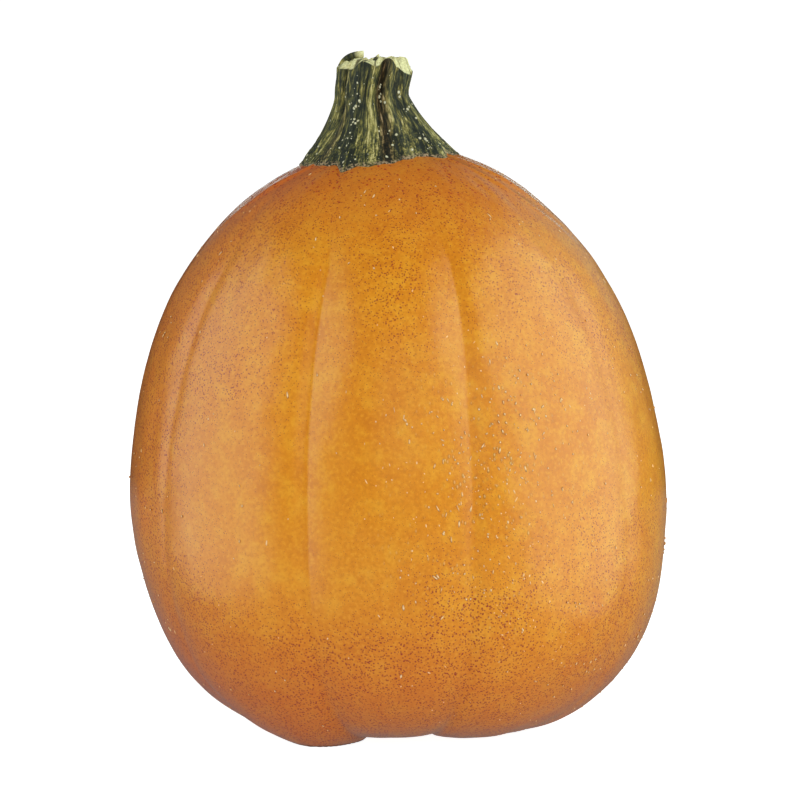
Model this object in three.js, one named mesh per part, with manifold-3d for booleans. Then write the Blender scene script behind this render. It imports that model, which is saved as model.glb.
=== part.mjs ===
// A tall, oval pumpkin as picked: one ribbed fruit and its woody stem, cut through and torn off at the top.
// Millimetres, +Z up. The origin is on the surface that the fruit stands on, under the middle of its bounding
// box.
// An azimuth is measured from the front (-Y) towards the right (+X), in degrees.
import * as THREE from "three";
import { mergeVertices } from "three/addons/utils/BufferGeometryUtils.js";
import Module from "manifold-3d";

const wasm = await Module();
wasm.setup();

// The fruit: two half superellipses that meet at its widest height, leaning a little to the left
const FRUIT_RADIUS = 120.6;
const EQUATOR_HEIGHT = 100;
const DOME_HEIGHT = 158.7;
const LOWER_FULLNESS = 2.77;
const UPPER_FULLNESS = 2.02;
const LEAN = 0.021;

// Slow departures of the fruit's plan from a circle
const OUT_OF_ROUND = [
  { waves: 2, share: 0.02, crest: -4 },
  { waves: 3, share: 0.012, crest: 38 },
];

// Broad swellings and hollows of its sides, in millimetres outwards, each fading over its spread
const SIDES = [
  { azimuth: -88, height: 52, out: -3.4, spread: 40, span: 26 },
  { azimuth: -88, height: 112, out: 1.1, spread: 40, span: 34 },
  { azimuth: -88, height: 188, out: 2.2, spread: 40, span: 34 },
  { azimuth: 86, height: 112, out: 2.0, spread: 40, span: 34 },
  { azimuth: 86, height: 188, out: 1.6, spread: 40, span: 34 },
];

// The ten furrows. A furrow drifts sideways by some degrees on its way up to the crown. Each has the lobe on
// its right: how far that lobe swells, and how high its lower side stands. The three lobes with a negative
// height are pressed flat there, and carry the fruit.
const FURROWS = [
  { azimuth: -57.5, drift: 4, depth: 2.0, swell: 0.7, foot: -1.3 },
  { azimuth: -20, drift: 0, depth: 2.6, swell: 0.1, foot: 6.2 },
  { azimuth: 17.5, drift: 3, depth: 3.3, swell: 0.8, foot: 5.0 },
  { azimuth: 52.5, drift: -2, depth: 1.7, swell: 0.5, foot: 2.8 },
  { azimuth: 89, drift: 2, depth: 2.3, swell: 0.4, foot: -0.9 },
  { azimuth: 125, drift: -3, depth: 2.8, swell: 0.9, foot: 4.2 },
  { azimuth: 160, drift: 1, depth: 2.1, swell: 0.2, foot: 4.6 },
  { azimuth: 197, drift: 3, depth: 2.9, swell: 0.8, foot: -0.9 },
  { azimuth: 233, drift: -2, depth: 2.2, swell: 0.4, foot: 3.8 },
  { azimuth: 267, drift: 2, depth: 2.1, swell: 0.5, foot: 2.6 },
];
const FURROW_NARROW = 4.6;
const FURROW_BROAD = 10.5;
const NARROW_SHARE = 0.62;
const FURROW_TURN_AT_TOP = -22;
const TURN_STARTS = 42;

// Latitudes between which the furrows thin out and end, near the crown and near the blossom end
const CROWN_THINNING = { from: 38, to: 74, share: 0.45 };
const CROWN_END = { from: 76, to: 87 };
const BLOSSOM_THINNING = { from: -45, to: -80, share: 0.7 };
const BLOSSOM_END = { from: -83, to: -90 };

// The underside: the ring of feet, and the basin inside it with the scar of the blossom
const FOOT_RADIUS = 66;
const FOOT_SPAN = 34;
const BASIN_RADIUS = 49;
const BASIN_DEPTH = 17;
const BASIN_POWER = 1.6;
const SCAR_RADIUS = 5;
const SCAR_HEIGHT = 1.3;

// The stem's outline on the fruit: round, off the fruit's axis, with a toe under each main ridge, and three
// broader aprons between the toes
const STEM_BASE = new THREE.Vector2(-9.4, 0.2);
const STEM_BASE_RADIUS = 33.0;
const STEM_GAP = 0.45;
const TOES = [
  { azimuth: -93, reach: 2.8, width: 15 },
  { azimuth: -24, reach: 5.4, width: 6 },
  { azimuth: 53, reach: 4.6, width: 6 },
  { azimuth: 124, reach: 5.5, width: 10 },
  { azimuth: 195, reach: 6.5, width: 9 },
];
const APRONS = [
  { azimuth: -60, reach: 3.0, width: 20 },
  { azimuth: -6, reach: 4.4, width: 15 },
  { azimuth: 88, reach: 2.2, width: 14 },
];

// The neck above it, and how it widens to the base
const NECK = new THREE.Vector2(-12.4, 1);
const NECK_RADIUS = 15.2;
const NECK_FOOT_HEIGHT = 280;
const FLARE_POWER = 1.4;
const FLARE_LEFT_TO_RIGHT = 0.22;
const CUT = new THREE.Vector2(-10.6, 1);
const CUT_HEIGHT = 296;
const RIM_SPREAD = 0.6;

// The stem's relief: a main ridge over each toe, and between two of them a valley with a rib on either side
const RIDGE_HEIGHT = 2.0;
const RIDGE_WIDTH = 13;
const RIDGE_SPACING = 72;
const VALLEY_DEPTH = 2.4;
const VALLEY_WIDTH = 7;
const RIB_HEIGHT = 1.1;
const RIB_WIDTH = 6;
const RIB_OFFSET = 14;
const RELIEF_AT_FOOT = 1.1;
const RELIEF_AT_CUT = 0.8;
const RELIEF_STARTS = 0.12;
const FOOT_SLOPE = 0.8;

// The front valley drifts towards the left on its way down
const VALLEY_MIDDLE = 10;
const VALLEY_DRIFT = 8;
const VALLEY_DRIFT_WIDTH = 24;

// How far below the cut the stem's skin ends, round the rim
const SKIN_ENDS = [
  [-135, 0.6],
  [-108, 2.0],
  [-84, 4.4],
  [-40, 4.6],
  [-21, 0.8],
  [0, 3.0],
  [20, -0.6],
  [37, 3.6],
  [50, 6.2],
  [66, 7.0],
  [90, 7.4],
  [120, 3.2],
  [180, 0.8],
];

// The torn end: the share of its radius over which it rises from the skin's edge, how far its middle and its
// low side are sunk, and its unevenness round the rim
const TORN_EDGE = 0.2;
const TORN_DISH = 2.6;
const TORN_LOW_SIDE = { azimuth: -75, width: 32, deep: 1.8 };
const TORN_WAVES = [
  { waves: 5, turn: 0, high: 0.5 },
  { waves: 8, turn: 40, high: 0.4 },
];

// Strips of skin that were torn up at the cut, each along three points, with its width and thickness
const TORN_STRIPS = [
  { along: [[-26.6, 4.5, 288], [-24.8, 3.5, 295.4], [-16.8, 2.2, 298.6]], width: 5.6, thickness: 2.2 },
  { along: [[-14.0, -13.0, 288.5], [-12.4, -12.4, 293.6], [-9.6, -11.6, 298.2]], width: 2.6, thickness: 1.3 },
];

// Mesh density
const COLUMNS_IN_LOBE = 11;
const LOWER_ROWS = 18;
const UPPER_ROWS = 19;
const STEM_COLUMNS = 110;
const STEM_ROWS = 14;
const UNDERSIDE_ROWS = [0.2, 0.4, 0.6, 0.8, 1];
const TORN_ROWS = [0.07, 0.14, 0.24, 0.5];
const STRIP_STEPS = 6;

const radians = (degrees) => (degrees * Math.PI) / 180;
const degrees = (angle) => (angle * 180) / Math.PI;
const turned = (azimuth) => ((((azimuth + 180) % 360) + 360) % 360) - 180;
const bell = (x, width) => Math.exp(-((x / width) ** 2));
const mix = (a, b, t) => a + (b - a) * t;
const step = (low, high, x) => {
  const t = Math.min(Math.max((x - low) / (high - low), 0), 1);
  return t * t * (3 - 2 * t);
};

// A value between points round a circle, [azimuth, value], eased from each to the next
function around(points, azimuth) {
  for (let i = 0; i < points.length; i++) {
    const [from, a] = points[i];
    const [to, b] = points[(i + 1) % points.length];
    const span = (to - from + 720) % 360;
    const past = (azimuth - from + 720) % 360;
    if (past <= span) return mix(a, b, step(0, 1, past / span));
  }
  return points[0][1];
}

const nextFurrow = (i) => FURROWS[(i + 1) % FURROWS.length].azimuth;
const lobeSpan = (i) => (nextFurrow(i) - FURROWS[i].azimuth + 360) % 360;
const lobeMiddles = (key) => FURROWS.map((furrow, i) => [furrow.azimuth + lobeSpan(i) / 2, furrow[key]]);
const SWELLS = lobeMiddles("swell");
const FEET = lobeMiddles("foot");

// How deep the furrows are at an azimuth, from the blossom end (latitude -90) to the crown (90)
function furrowDepth(azimuth, latitude) {
  const turn = FURROW_TURN_AT_TOP * step(TURN_STARTS, 90, latitude);
  const crown = mix(1, CROWN_THINNING.share, step(CROWN_THINNING.from, CROWN_THINNING.to, latitude));
  const blossom = mix(1, BLOSSOM_THINNING.share, step(BLOSSOM_THINNING.from, BLOSSOM_THINNING.to, latitude));
  const ends =
    step(CROWN_END.to, CROWN_END.from, latitude) * step(BLOSSOM_END.to, BLOSSOM_END.from, latitude);
  let depth = 0;
  for (const furrow of FURROWS) {
    const off = turned(azimuth - furrow.azimuth - furrow.drift * Math.sin(radians(latitude)) - turn);
    depth += furrow.depth * mix(bell(off, FURROW_BROAD), bell(off, FURROW_NARROW), NARROW_SHARE);
  }
  return depth * crown * blossom * ends;
}

// How far a place on a side stands out of the plain form
function sideSwelling(azimuth, height) {
  let out = 0;
  for (const side of SIDES) {
    const near = bell(turned(azimuth - side.azimuth), side.spread) * bell(height - side.height, side.span);
    out += side.out * near;
  }
  return out;
}

function roundness(azimuth) {
  let share = 1;
  for (const wave of OUT_OF_ROUND) {
    share += wave.share * Math.cos(radians(wave.waves * (azimuth - wave.crest)));
  }
  return share;
}

// How much higher than the plain form the underside is: the basin, and the lobes' feet
function undersideRise(azimuth, radius) {
  const share = 1 - (FOOT_RADIUS / FRUIT_RADIUS) ** LOWER_FULLNESS;
  const plain = EQUATOR_HEIGHT * (1 - share ** (1 / LOWER_FULLNESS));
  const basin = BASIN_DEPTH * Math.max(0, 1 - (radius / BASIN_RADIUS) ** 2) ** BASIN_POWER;
  const scar = SCAR_HEIGHT * step(SCAR_RADIUS * 1.3, SCAR_RADIUS * 0.8, radius);
  return basin - scar - (plain - around(FEET, azimuth)) * bell(radius - FOOT_RADIUS, FOOT_SPAN);
}

// A point of the fruit's skin
function skin(azimuth, latitude) {
  const side = latitude >= 0 ? 1 : -1;
  const fullness = side > 0 ? UPPER_FULLNESS : LOWER_FULLNESS;
  const half = side > 0 ? DOME_HEIGHT : EQUATOR_HEIGHT;
  const out = Math.cos(radians(latitude)) ** (2 / fullness);
  const along = Math.abs(Math.sin(radians(latitude))) ** (2 / fullness);
  const normal = new THREE.Vector2(
    out ** (fullness - 1) / FRUIT_RADIUS,
    (side * along ** (fullness - 1)) / half,
  ).normalize();

  const plainHeight = EQUATOR_HEIGHT + side * half * along;
  const swell = around(SWELLS, azimuth) * step(-85, -50, latitude) * step(75, 40, latitude);
  const raise = swell + sideSwelling(azimuth, plainHeight) - furrowDepth(azimuth, latitude);
  const radius = FRUIT_RADIUS * out * roundness(azimuth) + raise * normal.x;
  let height = plainHeight + raise * normal.y;
  if (side < 0) height = Math.max(height + undersideRise(azimuth, radius), 0);
  const angle = radians(azimuth);
  return new THREE.Vector3(
    radius * Math.sin(angle) - LEAN * (height - EQUATOR_HEIGHT),
    -radius * Math.cos(angle),
    height,
  );
}

// The azimuth and latitude of the place on the dome that lies at a point of the plan
function placeOnDome(x, y) {
  const aim = new THREE.Vector2(x, y);
  let place = { azimuth: 0, latitude: 90 };
  for (let i = 0; i < 6; i++) {
    const axisX = -LEAN * DOME_HEIGHT;
    const azimuth = degrees(Math.atan2(aim.x - axisX, -aim.y));
    const out = Math.hypot(aim.x - axisX, aim.y) / FRUIT_RADIUS;
    place = { azimuth, latitude: 90 - degrees(Math.asin(Math.min(out, 1) ** (UPPER_FULLNESS / 2))) };
    const found = skin(place.azimuth, place.latitude);
    aim.x += x - found.x;
    aim.y += y - found.y;
  }
  return place;
}

// The stem's outline on the fruit, at an azimuth about its own axis
function stemOutline(azimuth, share = 1) {
  let radius = STEM_BASE_RADIUS;
  for (const toe of [...TOES, ...APRONS]) {
    radius += toe.reach * bell(turned(azimuth - toe.azimuth), toe.width);
  }
  const angle = radians(azimuth);
  const x = STEM_BASE.x + share * radius * Math.sin(angle);
  const y = STEM_BASE.y - share * radius * Math.cos(angle);
  const place = placeOnDome(x, y);
  return skin(place.azimuth, place.latitude).add(new THREE.Vector3(0, 0, STEM_GAP));
}

// The relief's height at an azimuth and a share of the way up the stem
function ridge(azimuth, share) {
  const drift = VALLEY_DRIFT * bell(turned(azimuth - VALLEY_MIDDLE), VALLEY_DRIFT_WIDTH) * (1 - share);
  let height = 0;
  for (const toe of TOES) {
    const off = turned(azimuth + drift - toe.azimuth);
    const fromValley = turned(off - RIDGE_SPACING / 2);
    height += RIDGE_HEIGHT * bell(off, RIDGE_WIDTH);
    height -= VALLEY_DEPTH * bell(fromValley, VALLEY_WIDTH);
    height += RIB_HEIGHT * bell(fromValley + RIB_OFFSET, RIB_WIDTH);
    height += RIB_HEIGHT * bell(fromValley - RIB_OFFSET, RIB_WIDTH);
  }
  return height;
}

const skinEnd = (azimuth) => CUT_HEIGHT - around(SKIN_ENDS, azimuth);

// A point of the stem's skin, from the fruit (share 0) to the cut (share 1)
function stemWall(azimuth, share) {
  const foot = stemOutline(azimuth);
  const height = mix(foot.z, skinEnd(azimuth), share);
  const power = FLARE_POWER - FLARE_LEFT_TO_RIGHT * Math.sin(radians(azimuth));
  const flare = Math.max(0, (NECK_FOOT_HEIGHT - height) / (NECK_FOOT_HEIGHT - foot.z)) ** power;
  const rise = step(NECK_FOOT_HEIGHT, CUT_HEIGHT, height);
  const relief = ridge(azimuth, share) * mix(RELIEF_AT_FOOT, RELIEF_AT_CUT, share);
  const raise = relief * step(0, RELIEF_STARTS, share);
  const slope = FOOT_SLOPE * flare;
  const reach = NECK_RADIUS + RIM_SPREAD * rise + raise * (1 - slope);
  const angle = radians(azimuth);
  const middle = NECK.clone().lerp(CUT, rise);
  return new THREE.Vector3(
    mix(middle.x + reach * Math.sin(angle), foot.x, flare),
    mix(middle.y - reach * Math.cos(angle), foot.y, flare),
    height + Math.max(raise, 0) * slope,
  );
}

// A point of the torn end, from the skin's edge (share 0) to the middle (share 1)
function tornEnd(azimuth, share) {
  const edge = stemWall(azimuth, 1);
  let rough = 0;
  for (const wave of TORN_WAVES) {
    rough += wave.high * Math.sin(radians(azimuth * wave.waves + wave.turn));
  }
  const lowSide = TORN_LOW_SIDE.deep * bell(turned(azimuth - TORN_LOW_SIDE.azimuth), TORN_LOW_SIDE.width);
  const level = CUT_HEIGHT + (rough - lowSide) * step(1, 0.5, share) - TORN_DISH * step(0.3, 1, share);
  return new THREE.Vector3(
    mix(edge.x, CUT.x, share),
    mix(edge.y, CUT.y, share),
    mix(edge.z, level, step(0, TORN_EDGE, share)),
  );
}

// One closed surface through rows of points, each row a loop, from a lowest point to a highest one
function closedSurface(first, rows, last) {
  const columns = rows[0].length;
  const points = [first, ...rows.flat(), last];
  const at = (row, column) => 1 + row * columns + (column % columns);
  const index = [];
  for (let i = 0; i < columns; i++) {
    index.push(0, at(0, i + 1), at(0, i));
    index.push(points.length - 1, at(rows.length - 1, i), at(rows.length - 1, i + 1));
    for (let j = 0; j + 1 < rows.length; j++) {
      const [a, b, c, d] = [at(j, i), at(j, i + 1), at(j + 1, i + 1), at(j + 1, i)];
      const short = points[a].distanceTo(points[c]) <= points[b].distanceTo(points[d]);
      if (short) index.push(a, b, c, a, c, d);
      else index.push(a, b, d, b, c, d);
    }
  }
  const geometry = new THREE.BufferGeometry().setFromPoints(points);
  geometry.setIndex(index);
  return geometry;
}

// The fruit's columns of points, closer together at the furrows
const FRUIT_AZIMUTHS = FURROWS.flatMap((furrow, i) =>
  Array.from({ length: COLUMNS_IN_LOBE }, (_, j) => {
    const even = j / COLUMNS_IN_LOBE;
    const crowded = (1 - Math.cos(Math.PI * even)) / 2;
    return furrow.azimuth + lobeSpan(i) * mix(even, crowded, 0.5);
  }),
);
const STEM_AZIMUTHS = Array.from({ length: STEM_COLUMNS }, (_, i) => (360 * i) / STEM_COLUMNS);

function fruitGeometry() {
  const rows = [];
  for (let j = 1; j <= LOWER_ROWS; j++) {
    rows.push(FRUIT_AZIMUTHS.map((azimuth) => skin(azimuth, -90 * (1 - (j - 0.6) / LOWER_ROWS))));
  }
  for (let j = 0; j < UPPER_ROWS; j++) {
    rows.push(FRUIT_AZIMUTHS.map((azimuth) => skin(azimuth, (90 * (j + 0.4)) / UPPER_ROWS)));
  }
  return closedSurface(skin(0, -90), rows, skin(0, 90));
}

function stemGeometry() {
  const rows = [];
  for (const share of UNDERSIDE_ROWS) {
    rows.push(STEM_AZIMUTHS.map((azimuth) => stemOutline(azimuth, share)));
  }
  for (let j = 1; j <= STEM_ROWS; j++) {
    rows.push(STEM_AZIMUTHS.map((azimuth) => stemWall(azimuth, j / STEM_ROWS)));
  }
  for (const share of TORN_ROWS) {
    rows.push(STEM_AZIMUTHS.map((azimuth) => tornEnd(azimuth, share)));
  }
  return closedSurface(stemOutline(0, 0), rows, tornEnd(0, 1));
}

// A strip of torn skin: its thin section, drawn along a curve
function stripGeometry({ along, width, thickness }) {
  const section = new THREE.Shape([
    new THREE.Vector2(-thickness / 2, -width * 0.42),
    new THREE.Vector2(0, -width / 2),
    new THREE.Vector2(thickness / 2, -width * 0.42),
    new THREE.Vector2(thickness / 2, width * 0.42),
    new THREE.Vector2(0, width / 2),
    new THREE.Vector2(-thickness / 2, width * 0.42),
  ]);
  const curve = new THREE.CatmullRomCurve3(along.map((point) => new THREE.Vector3(...point)));
  return new THREE.ExtrudeGeometry(section, { steps: STRIP_STEPS, bevelEnabled: false, extrudePath: curve });
}

function solid(geometry) {
  const bare = new THREE.BufferGeometry().setAttribute("position", geometry.getAttribute("position"));
  bare.setIndex(geometry.index);
  const merged = mergeVertices(bare, 1e-4);
  const vertProperties = new Float32Array(merged.attributes.position.array);
  const triVerts = new Uint32Array(merged.index.array);
  return new wasm.Manifold(new wasm.Mesh({ numProp: 3, vertProperties, triVerts }));
}

function geometryOf(made) {
  const mesh = made.getMesh();
  const geometry = new THREE.BufferGeometry();
  geometry.setAttribute("position", new THREE.BufferAttribute(mesh.vertProperties, 3));
  geometry.setIndex(new THREE.BufferAttribute(mesh.triVerts, 1));
  return geometry;
}

function subPart(name, geometry, colour, roughness) {
  geometry.computeVertexNormals();
  const material = new THREE.MeshStandardMaterial({ color: colour, roughness, metalness: 0 });
  const mesh = new THREE.Mesh(geometry, material);
  mesh.name = name;
  return mesh;
}

let stem = solid(stemGeometry());
for (const strip of TORN_STRIPS) {
  stem = stem.add(solid(stripGeometry(strip)));
}

const pumpkin = new THREE.Group();
pumpkin.add(subPart("fruit", fruitGeometry(), 0xd98324, 0.4));
pumpkin.add(subPart("stem", geometryOf(stem), 0x4c5430, 0.75));

const middle = new THREE.Box3().setFromObject(pumpkin).getCenter(new THREE.Vector3());
pumpkin.position.set(-middle.x, -middle.y, 0);

export default pumpkin;
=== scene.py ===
"""A tall, oval pumpkin as picked, standing on a pale floor in soft studio light.

The fruit's skin and the stem are fine meshes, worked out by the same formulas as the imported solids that
they replace. Lengths in the formulas are millimetres, and an azimuth is in degrees from the front (-Y)
towards the right (+X).
"""
import math

import bpy
import numpy as np
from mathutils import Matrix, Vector


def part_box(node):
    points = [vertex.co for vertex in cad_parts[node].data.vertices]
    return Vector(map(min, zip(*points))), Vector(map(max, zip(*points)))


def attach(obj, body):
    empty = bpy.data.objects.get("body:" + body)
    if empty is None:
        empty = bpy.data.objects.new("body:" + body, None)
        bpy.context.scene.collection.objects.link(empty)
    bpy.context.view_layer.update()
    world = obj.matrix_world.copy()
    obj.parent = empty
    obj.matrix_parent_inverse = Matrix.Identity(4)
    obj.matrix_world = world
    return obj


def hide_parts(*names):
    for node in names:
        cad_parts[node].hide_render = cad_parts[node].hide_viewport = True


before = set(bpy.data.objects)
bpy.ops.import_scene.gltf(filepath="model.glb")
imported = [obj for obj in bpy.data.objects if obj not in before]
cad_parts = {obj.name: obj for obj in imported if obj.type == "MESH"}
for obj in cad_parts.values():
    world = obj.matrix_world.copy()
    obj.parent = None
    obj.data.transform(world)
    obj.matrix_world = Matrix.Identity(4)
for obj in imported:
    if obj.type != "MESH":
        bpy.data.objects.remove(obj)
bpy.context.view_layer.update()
MM = 0.001

# The fruit: two half superellipses that meet at its widest height, leaning a little to the left
FRUIT_RADIUS = 120.6
EQUATOR_HEIGHT = 100.0
DOME_HEIGHT = 158.7
LOWER_FULLNESS = 2.77
UPPER_FULLNESS = 2.02
LEAN = 0.021

# Slow departures of its plan from a circle: waves, share of the radius, azimuth of a crest
OUT_OF_ROUND = [(2, 0.02, -4), (3, 0.012, 38)]

# Swellings of its sides: azimuth, height, how far out, spread in degrees, span in height
SIDES = [
    (-88, 52, -3.4, 40, 26),
    (-88, 112, 1.1, 40, 34),
    (-88, 188, 2.2, 40, 34),
    (86, 112, 2.0, 40, 34),
    (86, 188, 1.6, 40, 34),
]

# Furrows: azimuth, drift, depth, the swell and the foot's height of the lobe on its right, and how much
# gentler its right wall is than its left one
FURROWS = [
    (-57.5, 4, 1.4, 0.7, -1.3, -0.2),
    (-20, 0, 4.4, 0.1, 6.2, 0.6),
    (15.0, 2, 3.7, 0.8, 5.0, -0.6),
    (52.5, -2, 0.6, 0.5, 2.8, 0),
    (89, 2, 2.3, 0.4, -0.9, 0),
    (125, -3, 2.8, 0.9, 4.2, 0.2),
    (160, 1, 2.1, 0.2, 4.6, 0),
    (197, 3, 2.9, 0.8, -0.9, -0.3),
    (233, -2, 2.2, 0.4, 3.8, 0.1),
    (267, 2, 2.1, 0.5, 2.6, 0),
]
FURROW_CREASE = 4.0
FURROW_BROAD = 10.5
CREASE_SHARE = 0.62
FURROW_TURN_AT_TOP = -22
TURN_STARTS = 42

# The underside
FOOT_RADIUS = 66
FOOT_SPAN = 34
BASIN_RADIUS = 49
BASIN_DEPTH = 17
BASIN_POWER = 1.6
SCAR_RADIUS = 5
SCAR_HEIGHT = 1.3

# The stem's outline on the fruit, with its toes and aprons (azimuth, reach, width), its neck and its cut
STEM_BASE = (-9.4, 0.2)
STEM_BASE_RADIUS = 33.0
TOES = [(-93, 2.8, 15), (-24, 5.4, 6), (53, 4.6, 6), (124, 5.5, 10), (195, 6.5, 9)]
APRONS = [(-60, 3.0, 20), (-6, 4.4, 15), (88, 2.2, 14)]
NECK = (-12.4, 1.0)
NECK_RADIUS = 15.2
NECK_FOOT_HEIGHT = 280
FLARE_POWER = 1.40
FLARE_LEFT_TO_RIGHT = 0.22
VALLEY_MIDDLE = 10
VALLEY_DRIFT = 8
VALLEY_DRIFT_WIDTH = 24
CUT = (-10.6, 1.0)
CUT_HEIGHT = 296
RIM_SPREAD = 0.6
RIDGE_HEIGHT = 2.0
RIDGE_WIDTH = 13
RIDGE_SPACING = 72
VALLEY_DEPTH = 2.4
VALLEY_WIDTH = 7
RIB_HEIGHT = 1.1
RIB_WIDTH = 6
RIB_OFFSET = 14

# How far below the cut's height the stem's skin ends: azimuth, length
SKIN_ENDS = [
    (-135, 0.6), (-108, 2.0), (-84, 4.4), (-40, 4.6), (-21, 0.8), (0, 3.0), (20, -0.6),
    (37, 3.6), (50, 6.2), (66, 7.0), (90, 7.4), (120, 3.2), (180, 0.8),
]

# Mesh density
FRUIT_COLUMNS = 400
FRUIT_ROWS = 240
STEM_COLUMNS = 560


# Shapes of numbers

def step(low, high, x):
    t = np.clip((x - low) / (high - low), 0, 1)
    return t * t * (3 - 2 * t)


def mix(a, b, t):
    return a + (b - a) * t


def bell(x, width):
    return np.exp(-(x / width) ** 2)


def turned(azimuth):
    return (azimuth + 180) % 360 - 180


def around(points, azimuth):
    """A value between points round a circle, (azimuth, value), eased from each to the next."""
    value = np.zeros_like(azimuth, dtype=float)
    for (start, a), (end, b) in zip(points, points[1:] + points[:1]):
        span = (end - start + 720) % 360
        past = (azimuth - start + 720) % 360
        value = np.where(past <= span, mix(a, b, step(0, 1, past / span)), value)
    return value


def lobe_middles(column):
    middles = []
    for i, furrow in enumerate(FURROWS):
        span = (FURROWS[(i + 1) % len(FURROWS)][0] - furrow[0] + 360) % 360
        middles.append((furrow[0] + span / 2, furrow[column]))
    return middles


SWELLS = lobe_middles(3)
FEET = lobe_middles(4)


def wavy(u, v, cells, seed):
    """Smooth noise from -1 to 1 over u, which closes on itself from 0 to 1, and v, in lattice cells."""
    draw = np.random.RandomState(seed)
    rows = int(np.ceil(v.max())) + 3
    lattice = draw.uniform(-1, 1, (rows, cells))
    x = (u % 1) * cells
    column, row = np.floor(x).astype(int), np.floor(v).astype(int)
    fx, fy = step(0, 1, x - column), step(0, 1, v - row)
    low = mix(lattice[row, column % cells], lattice[row, (column + 1) % cells], fx)
    high = mix(lattice[row + 1, column % cells], lattice[row + 1, (column + 1) % cells], fx)
    return mix(low, high, fy)


# The fruit's skin

def furrow_depth(azimuth, latitude):
    turn = FURROW_TURN_AT_TOP * step(TURN_STARTS, 90, latitude)
    crown = mix(0.2, 1, step(62, 30, latitude)) * step(87, 76, latitude)
    fade = crown * mix(0.7, 1, step(-80, -45, latitude)) * step(-90, -83, latitude)
    depth = 0
    for middle, drift, deep, _, _, lean in FURROWS:
        off = turned(azimuth - middle - drift * np.sin(np.radians(latitude)) - turn)
        wide = FURROW_CREASE * (1 + lean * np.sign(off))
        crease = CREASE_SHARE * np.exp(-np.abs(off) / wide)
        depth = depth + deep * (crease + (1 - CREASE_SHARE) * bell(off, FURROW_BROAD))
    return depth * fade


def side_swelling(azimuth, height):
    out = 0
    for middle, level, far, spread, span in SIDES:
        out = out + far * bell(turned(azimuth - middle), spread) * bell(height - level, span)
    return out


def underside_rise(azimuth, radius):
    share = 1 - (FOOT_RADIUS / FRUIT_RADIUS) ** LOWER_FULLNESS
    plain = EQUATOR_HEIGHT * (1 - share ** (1 / LOWER_FULLNESS))
    basin = BASIN_DEPTH * np.clip(1 - (radius / BASIN_RADIUS) ** 2, 0, 1) ** BASIN_POWER
    scar = SCAR_HEIGHT * step(SCAR_RADIUS * 1.3, SCAR_RADIUS * 0.8, radius)
    return basin - scar - (plain - around(FEET, azimuth)) * bell(radius - FOOT_RADIUS, FOOT_SPAN)


def skin(azimuth, latitude, lift=0.0):
    """Points of the skin; lift raises them along the surface's normal."""
    upper = latitude >= 0
    side = np.where(upper, 1, -1)
    fullness = np.where(upper, UPPER_FULLNESS, LOWER_FULLNESS)
    half = np.where(upper, DOME_HEIGHT, EQUATOR_HEIGHT)
    out = np.clip(np.cos(np.radians(latitude)), 0, 1) ** (2 / fullness)
    along = np.abs(np.sin(np.radians(latitude))) ** (2 / fullness)
    across = out ** (fullness - 1) / FRUIT_RADIUS
    upright = side * along ** (fullness - 1) / half
    length = np.hypot(across, upright)
    across, upright = across / length, upright / length

    plain_height = EQUATOR_HEIGHT + side * half * along
    swell = around(SWELLS, azimuth) * step(-85, -50, latitude) * step(75, 40, latitude)
    raised = swell + side_swelling(azimuth, plain_height) - furrow_depth(azimuth, latitude) + lift
    angle = np.radians(azimuth)
    bulges = 0
    for waves, share, crest in OUT_OF_ROUND:
        bulges = bulges + share * np.cos(np.radians(waves * (azimuth - crest)))
    radius = FRUIT_RADIUS * out * (1 + bulges) + raised * across
    height = plain_height + raised * upright
    height = np.where(upper, height, np.maximum(height + underside_rise(azimuth, radius), 0))
    x = radius * np.sin(angle) - LEAN * (height - EQUATOR_HEIGHT)
    return np.stack([x, -radius * np.cos(angle), height], axis=-1)


def place_on_dome(x, y):
    """The azimuth and latitude of the places on the dome that lie at points of the plan."""
    aim_x, aim_y = x.copy(), y.copy()
    for _ in range(6):
        off = aim_x + LEAN * DOME_HEIGHT
        azimuth = np.degrees(np.arctan2(off, -aim_y))
        out = np.minimum(np.hypot(off, aim_y) / FRUIT_RADIUS, 1)
        latitude = 90 - np.degrees(np.arcsin(out ** (UPPER_FULLNESS / 2)))
        found = skin(azimuth, latitude)
        aim_x = aim_x + x - found[..., 0]
        aim_y = aim_y + y - found[..., 1]
    return azimuth, latitude


# The stem

def stem_outline(azimuth, share=1.0, sink=0.0):
    level = azimuth * 0.0
    ragged = 0.7 * wavy(azimuth / 360, level, 46, 31)
    ragged = ragged + 0.5 * wavy(azimuth / 360, level, 120, 32)
    radius = STEM_BASE_RADIUS + ragged
    for middle, reach, width in TOES + APRONS:
        radius = radius + reach * bell(turned(azimuth - middle), width)
    angle = np.radians(azimuth)
    x = STEM_BASE[0] + share * radius * np.sin(angle)
    y = STEM_BASE[1] - share * radius * np.cos(angle)
    places = place_on_dome(x, y)
    point = skin(*places)
    point[..., 2] -= sink
    return point


def drifted(azimuth, share):
    """The azimuth at the neck of the fibre that passes a place.

    The front valley's fibres bend left below the neck.
    """
    near_valley = bell(turned(azimuth - VALLEY_MIDDLE), VALLEY_DRIFT_WIDTH)
    return azimuth + VALLEY_DRIFT * near_valley * (1 - share)


def ridge(azimuth):
    height = 0
    for middle, _, _ in TOES:
        off = turned(azimuth - middle)
        from_valley = turned(off - RIDGE_SPACING / 2)
        ribs = bell(from_valley + RIB_OFFSET, RIB_WIDTH) + bell(from_valley - RIB_OFFSET, RIB_WIDTH)
        height = height + RIDGE_HEIGHT * bell(off, RIDGE_WIDTH)
        height = height - VALLEY_DEPTH * bell(from_valley, VALLEY_WIDTH)
        height = height + RIB_HEIGHT * ribs
    return height


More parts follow.
